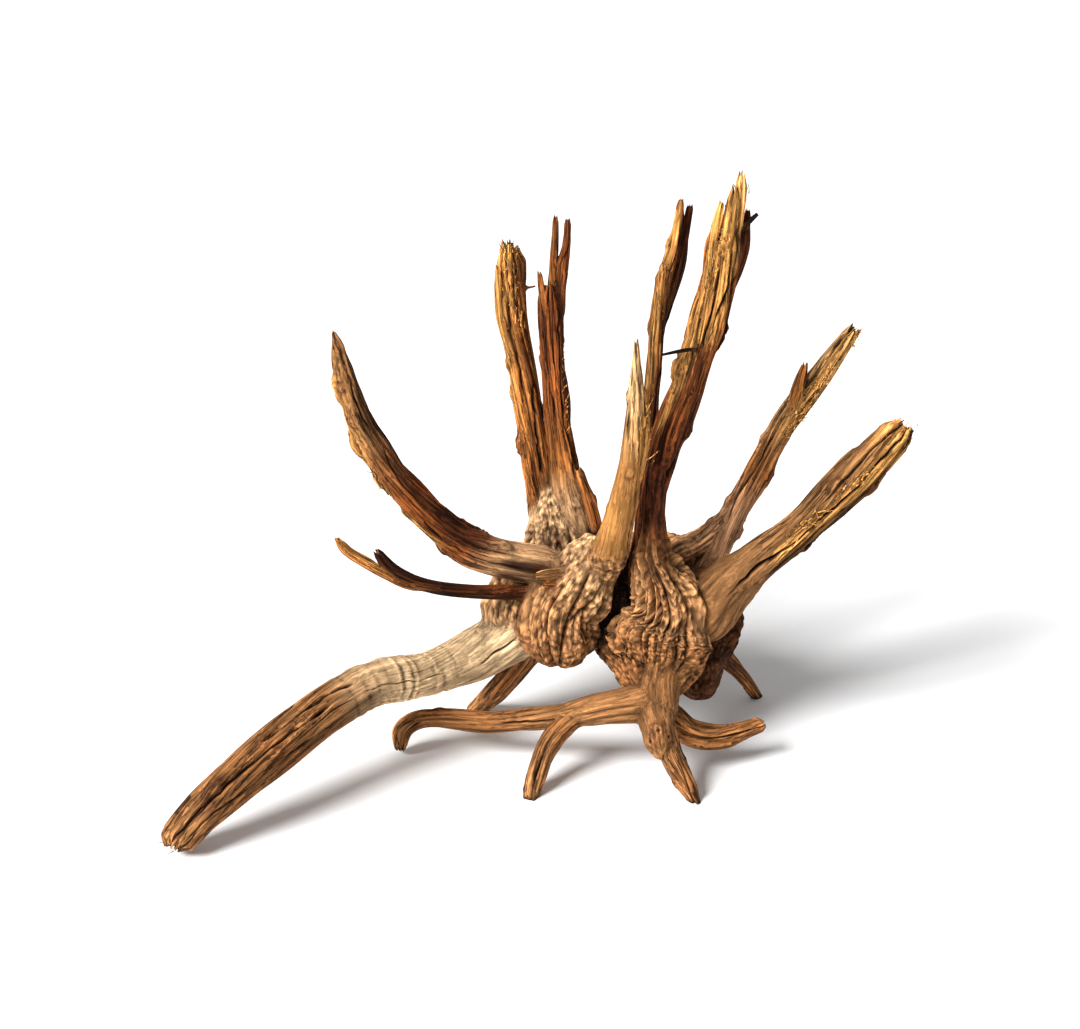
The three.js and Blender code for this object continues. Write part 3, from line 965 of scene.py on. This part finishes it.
print(
    "pieces of wood in all:", len(made), "with", sum(len(p.data.polygons) for p in made), "faces",
)

# %% [markdown]
# ## One piece of wood
# So far every limb is a closed skin of its own. A real root is one solid, so the skins are united
# with a Boolean, which throws away what lies inside. The tips that reach below the floor are then
# cut off flat, as the real ones are worn flat where the root stands.

# %% Union
parts = bpy.data.collections.new("parts")
for number, piece in enumerate(made):
    source = piece.data.attributes.new("source", "INT", "FACE")
    source.data.foreach_set("value", np.full(len(piece.data.polygons), number, np.int32))
first, others = made[0], made[1:]
bpy.context.scene.collection.objects.link(first)
for piece in others:
    parts.objects.link(piece)

bpy.ops.mesh.primitive_cube_add(size=1, location=(0, 0, -0.05))
ground_block = bpy.context.object
ground_block.scale = (1, 1, 0.1)

join = first.modifiers.new("join", "BOOLEAN")
join.operation = "UNION"
join.solver = "MANIFOLD"
join.operand_type = "COLLECTION"
join.collection = parts
level = first.modifiers.new("level", "BOOLEAN")
level.operation = "DIFFERENCE"
level.solver = "MANIFOLD"
level.object = ground_block
bpy.context.view_layer.update()
depsgraph = bpy.context.evaluated_depsgraph_get()
mesh = bpy.data.meshes.new_from_object(first.evaluated_get(depsgraph))
mesh.name = "dry_root_wood"
for piece in [*made, ground_block]:
    bpy.data.objects.remove(piece)
print("united:", len(mesh.vertices), "vertices,", len(mesh.polygons), "faces")

# %% [markdown]
# ## Soft joins
# Where a stem leaves the burl, the real wood flows from one into the other, but a Boolean leaves a
# crease. Near each seam between stem and burl the skin is relaxed: every vertex moves towards the
# middle of its neighbours. The clefts where two swellings meet are left sharp, and so are the flat
# ends that the root stands on.

# %% Relaxing
SEAM_REACH = 8
SEAM_PASSES = 24
COLOUR_PASSES = 60
FLAT_END = 0.05 * MM


def read(mesh, layer):
    """A point layer of the mesh as an array."""
    data = mesh.attributes[layer].data
    kind, width = ("vector", 3) if mesh.attributes[layer].data_type == "FLOAT_VECTOR" else ("value", 1)
    values = np.zeros(len(data) * width)
    data.foreach_get(kind, values)
    return values.reshape(-1, width)


def write(mesh, layer, values):
    """Writes an array into a point layer, and makes the layer if it isn't there."""
    flat = values.ravel().astype(np.float32)
    if layer not in mesh.attributes:
        mesh.attributes.new(layer, "FLOAT", "POINT")
    kind = "vector" if mesh.attributes[layer].data_type == "FLOAT_VECTOR" else "value"
    mesh.attributes[layer].data.foreach_set(kind, flat)


def edges_of(mesh):
    """The two vertices of each edge."""
    edges = np.zeros(len(mesh.edges) * 2, int)
    mesh.edges.foreach_get("vertices", edges)
    return edges.reshape(-1, 2).T


def averaged(values, edges, count):
    """For each vertex the mean of its neighbours' values."""
    start, end = edges
    neighbours = np.bincount(start, minlength=count) + np.bincount(end, minlength=count)
    columns = []
    for column in values.T:
        total = np.bincount(start, column[end], count) + np.bincount(end, column[start], count)
        columns.append(total / neighbours)
    return np.stack(columns, -1)


count = len(mesh.vertices)
edges = edges_of(mesh)
points = read(mesh, "position")

# a seam vertex touches faces that come from two skins
source = np.zeros(len(mesh.polygons), np.int32)
mesh.attributes["source"].data.foreach_get("value", source)
corner_vertex = np.zeros(len(mesh.loops), int)
mesh.loops.foreach_get("vertex_index", corner_vertex)
totals = np.zeros(len(mesh.polygons), int)
mesh.polygons.foreach_get("loop_total", totals)
corner_source = np.repeat(source, totals)
lowest = np.full(count, 10**6)
highest = np.full(count, -1)
np.minimum.at(lowest, corner_vertex, corner_source)
np.maximum.at(highest, corner_vertex, corner_source)
seam = ((lowest != highest) & (lowest < WOOD_LIMBS)).astype(float)[:, None]
near_seam = seam
for _ in range(SEAM_REACH):
    near_seam = np.maximum(near_seam, averaged(near_seam, edges, count))
near_seam = np.clip(near_seam * 1.6, 0, 1)
near_seam[points[:, 2] < FLAT_END] = 0
for _ in range(SEAM_PASSES):
    points = points + 0.6 * near_seam * (averaged(points, edges, count) - points)
write(mesh, "position", points)
for layer in ("tint", "crust", "calm"):
    values = read(mesh, layer)
    for _ in range(COLOUR_PASSES):
        values = values + 0.8 * near_seam * (averaged(values, edges, count) - values)
    write(mesh, layer, values)
print("vertices near a seam:", int((near_seam > 0.1).sum()))

# %% [markdown]
# ## Hollows
# Dirt stays in the grooves, and shade is painted into them as well, darkest in the clefts. The tops of
# ridges are rubbed pale. A place is a hollow when the averaged skin lies outside it. A short average
# finds the grain, and a long one finds the clefts between the ropes of cork.

# %% Hollows
GRAIN_PASSES = 5
CLEFT_PASSES = 45
GRAIN_DEPTH = 0.35 * MM
CLEFT_DEPTH = 2.2 * MM

normals = np.zeros(count * 3, np.float32)
mesh.vertices.foreach_get("normal", normals)
normals = normals.reshape(-1, 3)
smooth = points
for step in range(CLEFT_PASSES):
    smooth = averaged(smooth, edges, count)
    if step + 1 == GRAIN_PASSES:
        grooves = ((smooth - points) * normals).sum(-1) / GRAIN_DEPTH
clefts = ((smooth - points) * normals).sum(-1) / CLEFT_DEPTH
write(mesh, "groove", np.clip(grooves, -1, 1))
write(mesh, "cleft", np.clip(clefts, -1, 1))
print("deep places:", int((clefts > 0.8).sum()), "of", count)

# %% [markdown]
# ## Thinning the skin
# The united skin has more triangles than it needs on smooth wood. Decimate joins the edges whose
# loss changes the shape least, so ridges and cork keep theirs.

# %% Thinning
TRIANGLES = 195000

wood = bpy.data.objects.new("dry_root_wood", mesh)
bpy.context.scene.collection.objects.link(wood)
mesh.calc_loop_triangles()
thin = wood.modifiers.new("thin", "DECIMATE")
thin.ratio = min(1, TRIANGLES / len(mesh.loop_triangles))
bpy.context.view_layer.update()
thinned = bpy.data.meshes.new_from_object(
    wood.evaluated_get(bpy.context.evaluated_depsgraph_get()),
)
wood.modifiers.clear()
wood.data = thinned
thinned.name = "dry_root_wood"
bpy.data.meshes.remove(mesh)
thinned.shade_smooth()
print("thinned to", len(thinned.polygons), "triangles")

# %% [markdown]
# ## Torn fibres
# Where strips were torn off, loose fibres stand out from the wood like coarse hair. They are too
# thin for the solid, so they are a second piece: hundreds of small curved spikes with three sides,
# rooted at random places along the torn edges.

# %% Torn fibres
FIBRE_RINGS = 5
FIBRE_SIDES = 3
FIBRE_RADIUS = 0.45


def tuft(start, end, way, count, length, spread, rng):
    """Spikes (points and faces) rooted around the line from start to end. Each leaves along way
    with a random lean, and curls as it goes: its middle line is root + lean*t + curl*t^2."""
    share = rng.uniform(0, 1, (count, 1))
    root = start + (end - start) * share + rng.normal(0, spread, (count, 3))
    lean = way / np.linalg.norm(way) + rng.normal(0, 0.32, (count, 3))
    reach = length * rng.uniform(0.35, 1.0, (count, 1))
    curl = rng.normal(0, 0.3, (count, 3)) * reach
    across_one = np.cross(lean, [0.2, 1, 0.1])
    across_one /= np.linalg.norm(across_one, axis=1, keepdims=True)
    across_two = np.cross(lean, across_one)
    across_two /= np.linalg.norm(across_two, axis=1, keepdims=True)
    t = np.linspace(0, 1, FIBRE_RINGS)[None, :, None, None]
    turn = np.linspace(0, 2 * np.pi, FIBRE_SIDES, endpoint=False)[None, None, :, None]
    middle = root[:, None, None] + (lean * reach)[:, None, None] * t + curl[:, None, None] * t**2
    out = np.cos(turn) * across_one[:, None, None] + np.sin(turn) * across_two[:, None, None]
    return (middle + FIBRE_RADIUS * (1 - 0.8 * t) * out).reshape(-1, 3)


def spike_faces(count):
    """The faces of one spike, closed at both ends, repeated for each spike."""
    ring, side = np.meshgrid(np.arange(FIBRE_RINGS - 1), np.arange(FIBRE_SIDES), indexing="ij")
    here, beside = ring * FIBRE_SIDES + side, ring * FIBRE_SIDES + (side + 1) % FIBRE_SIDES
    quads = np.stack([here, beside, beside + FIBRE_SIDES, here + FIBRE_SIDES], -1).reshape(-1, 4)
    size = FIBRE_RINGS * FIBRE_SIDES
    base = [[2, 1, 0], [size - 3, size - 2, size - 1]]
    faces = [*quads.tolist(), *base]
    return [[corner + size * spike for corner in face] for spike in range(count) for face in faces]


# from, to, way out, how many, length, spread
TUFTS = [
    ((-82, 18, 170), (-96, 12, 189), (-0.62, -0.3, 0.75), 80, 5, 1.4),
    ((-99, 10, 192), (-110, 6, 216), (-0.5, -0.3, 0.9), 150, 6, 1.5),
    ((-112, 5, 221), (-119, 3, 244), (-0.4, -0.3, 0.95), 150, 6, 1.5),
    ((-122, 2, 258), (-126, 1, 276), (-0.25, -0.3, 1.0), 110, 6, 1.2),
    ((-18, 92, 262), (-26, 98, 318), (-0.15, -0.3, 1.0), 40, 8, 3.0),
    ((-30, 106, 318), (-20, 106, 321), (0, 0, 1.0), 30, 7, 2.5),
    ((13, 88, 200), (10, 92, 262), (0.1, -0.3, 1.0), 24, 5, 0.8),
    ((58, -10, 262), (62, -7, 215), (0.4, -0.2, 0.9), 25, 7, 1.2),
    ((96, 18, 312), (106, 22, 352), (-0.1, -0.3, 1.0), 60, 9, 2.5),
    ((108, 28, 352), (116, 31, 378), (0, -0.2, 1.0), 50, 7, 2.2),
    ((152, 74, 203), (172, 81, 226), (0.8, -0.3, 0.7), 40, 7, 1.4),
    ((160, 78, 214), (186, 87, 250), (0.5, -0.4, 0.7), 60, 8, 2.0),
    ((196, 94, 262), (204, 99, 268), (0.5, 0, 0.9), 25, 6, 2.0),
    ((150, 14, 156), (205, 18, 208), (0.6, -0.4, 0.6), 60, 8, 1.8),
    ((214, 28, 218), (225, 32, 224), (0.6, 0, 0.7), 40, 6, 3.5),
    ((-224, -108, 8), (-228, -110, 14), (-1, -0.6, -0.1), 15, 4, 2.0),
]
rng = np.random.default_rng(11)
spikes = [
    tuft(np.array(start), np.array(end), np.array(way, float), count, length, spread, rng)
    for start, end, way, count, length, spread in TUFTS
]
spike_points = np.concatenate(spikes)
spike_count = sum(row[3] for row in TUFTS)
fibre_mesh = bpy.data.meshes.new("torn_fibres")
fibre_mesh.from_pydata((spike_points * MM).tolist(), [], spike_faces(spike_count))
gold = rng.uniform(0.5, 1.3, (spike_count, 1)) * TORN_COLOUR
gold = np.repeat(gold, FIBRE_RINGS * FIBRE_SIDES, 0)
for layer, values in (("tint", gold), ("grain", spike_points * MM)):
    attribute = fibre_mesh.attributes.new(layer, "FLOAT_VECTOR", "POINT")
    attribute.data.foreach_set("vector", values.ravel())
fibres = bpy.data.objects.new("torn_fibres", fibre_mesh)
bpy.context.scene.collection.objects.link(fibres)
print("loose fibres:", spike_count)

# %% [markdown]
# ## Weathered wood
# The material is dry, unfinished shrub wood and cork. Light finds it quite matt. Its colour comes
# from the skin's own layer, and three patterns work on that: fine dark and pale streaks that follow
# the grain, broad stains, and dirt with painted shade in the hollows. Cork also has small grains,
# painted pale on top and dark between them as highlight and shade.

# %% Nodes


def add(tree, kind, inputs=(), **settings):
    """Adds a node with its settings. Inputs are (socket, value) pairs, where a value that is
    another node's output is linked."""
    node = tree.nodes.new(kind)
    for name, value in settings.items():
        setattr(node, name, value)
    for socket, value in dict(inputs).items():
        if isinstance(value, bpy.types.NodeSocket):
            tree.links.new(value, node.inputs[socket])
        else:
            node.inputs[socket].default_value = value
    return node


def layer_of(tree, name):
    """The node that reads one of the skin's layers."""
    return add(tree, "ShaderNodeAttribute", attribute_name=name)


# %% Dry wood
STREAK_WIDTH = 1.5 * MM
STAIN_WIDTH = 11 * MM
CORK_KNOB = 3.0 * MM
KNOB_STRETCH = (1, 1, 0.72)
GRAIN_STRETCH = (1, 1, 0.035)
CALM_LIGHT = 0.66
# the colour of dirt and of painted shade in the grooves and clefts
DIRT_AND_SHADE_COLOUR = (*linear("#1f0f06"), 1)
GRAIN_RELIEF = 0.4 * MM
CORK_RELIEF = 2.4 * MM

material = bpy.data.materials.new("weathered_shrub_wood")
material.use_nodes = True
tree = material.node_tree
shader = tree.nodes["Principled BSDF"]
shader.inputs["IOR"].default_value = 1.45
shader.inputs["Specular IOR Level"].default_value = 0.12


def noise_of(vector, scale, detail, roughness=0.5):
    """A noise pattern of the material, about 0.3 to 0.7."""
    inputs = {"Vector": vector, "Scale": scale, "Detail": detail, "Roughness": roughness}
    return add(tree, "ShaderNodeTexNoise", inputs).outputs[0]


def spread(value, start, end, low, high):
    """Start to end of a value become low to high."""
    inputs = {"Value": value, "From Min": start, "From Max": end, "To Min": low, "To Max": high}
    return add(tree, "ShaderNodeMapRange", inputs).outputs[0]


def times(one, other):
    """The product of two values."""
    return add(tree, "ShaderNodeMath", {0: one, 1: other}, operation="MULTIPLY").outputs[0]


tint = layer_of(tree, "tint").outputs["Color"]
grain = layer_of(tree, "grain").outputs["Vector"]
cork, calm, groove, cleft = (
    layer_of(tree, name).outputs["Fac"] for name in ("crust", "calm", "groove", "cleft")
)
print("the wood reads", len(tree.nodes) - 2, "layers of its skin")

# %% Streaks, splits and cork knobs
lengthwise = add(tree, "ShaderNodeMapping", {"Vector": grain, "Scale": GRAIN_STRETCH}).outputs[0]
streak = noise_of(lengthwise, 1 / STREAK_WIDTH, 3.0, 0.6)
streak_wide = noise_of(lengthwise, 0.3 / STREAK_WIDTH, 2.0)
split = noise_of(lengthwise, 0.45 / STREAK_WIDTH, 1.0)
stain = noise_of(add(tree, "ShaderNodeTexCoord").outputs["Object"], 1 / STAIN_WIDTH, 3.0)
longish = add(tree, "ShaderNodeMapping", {"Vector": grain, "Scale": KNOB_STRETCH}).outputs[0]
knob = add(
    tree, "ShaderNodeTexVoronoi", {"Vector": longish, "Scale": 1 / CORK_KNOB, "Randomness": 1.0},
    feature="F1",
).outputs["Distance"]

# each pattern becomes a brightness around one, and a split is a dark line where its noise is one half
streak_light = times(
    spread(streak, 0.38, 0.62, 0.22, 1.75), spread(streak_wide, 0.34, 0.66, 0.5, 1.45),
)
from_half = add(tree, "ShaderNodeMath", {0: split, 1: 0.5}, operation="SUBTRACT").outputs[0]
off_line = add(tree, "ShaderNodeMath", {0: from_half}, operation="ABSOLUTE").outputs[0]
grain_light = times(streak_light, spread(off_line, 0.006, 0.035, 0.3, 1.0))
calmed = add(tree, "ShaderNodeMix", {"Factor": calm, 2: grain_light, 3: CALM_LIGHT}).outputs[0]
# painted highlight on the middle of each cork grain and painted shade between the grains
knob_highlight_and_shade = spread(knob, 0.2, 0.75, 1.35, 0.3)
pattern = add(tree, "ShaderNodeMix", {"Factor": cork, 2: calmed, 3: knob_highlight_and_shade}).outputs[0]
light = times(pattern, spread(stain, 0.3, 0.7, 0.82, 1.15))
lit = add(tree, "ShaderNodeVectorMath", {0: tint, "Scale": light}, operation="SCALE").outputs[0]
print("patterns made, with streaks", STREAK_WIDTH / MM, "mm wide")

# %% Dirt and painted shade in the hollows, pale ridges
# grooves are darkened as dirt and painted shade; the clefts between the cork ropes, nearly black, are
# painted shade
dirt_and_shade = add(
    tree, "ShaderNodeMath",
    {0: spread(groove, 0.0, 1.0, 0.0, 0.7), 1: spread(cleft, 0.05, 1.0, 0.0, 0.95)},
    operation="MAXIMUM",
).outputs[0]
dirtied_and_shaded = add(
    tree, "ShaderNodeMix", {"Factor": dirt_and_shade, 6: lit, 7: DIRT_AND_SHADE_COLOUR}, data_type="RGBA"
).outputs[2]
rub = spread(groove, -0.3, -1.0, 1.0, 1.45)
rubbed = add(tree, "ShaderNodeVectorMath", {0: dirtied_and_shaded, "Scale": rub}, operation="SCALE").outputs[0]
tree.links.new(rubbed, shader.inputs["Base Color"])
print("dirt and rubbed ridges made")

# %% Relief too fine for the skin
wood_share = add(
    tree, "ShaderNodeMath", {0: 1.0, 1: cork}, operation="SUBTRACT", use_clamp=True
).outputs[0]
grain_bump = add(
    tree, "ShaderNodeBump",
    {"Height": times(calmed, wood_share), "Distance": GRAIN_RELIEF, "Strength": 1.0},
).outputs[0]
cork_bump = add(
    tree, "ShaderNodeBump",
    {"Height": times(knob, cork), "Distance": CORK_RELIEF, "Strength": 1.0, "Normal": grain_bump},
    invert=True,
).outputs[0]
tree.links.new(cork_bump, shader.inputs["Normal"])
tree.links.new(spread(streak, 0.3, 0.7, 0.92, 0.7), shader.inputs["Roughness"])

wood.data.materials.clear()
for piece in (wood, fibres):
    piece.data.materials.append(material)
    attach(piece, "root")
    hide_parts("dry_root")
print("material nodes:", len(tree.nodes))

# %% [markdown]
# ## The floor
# A plain white floor, wide enough to fill the view.

# %% Floor
FLOOR_WIDTH = 30

bpy.ops.mesh.primitive_plane_add(size=FLOOR_WIDTH)
floor = bpy.context.object
floor.name = "floor"
paper = bpy.data.materials.new("white_paper")
paper.use_nodes = True
surface = paper.node_tree.nodes["Principled BSDF"]
surface.inputs["Base Color"].default_value = (0.93, 0.93, 0.93, 1)
surface.inputs["Roughness"].default_value = 0.9
floor.data.materials.append(paper)
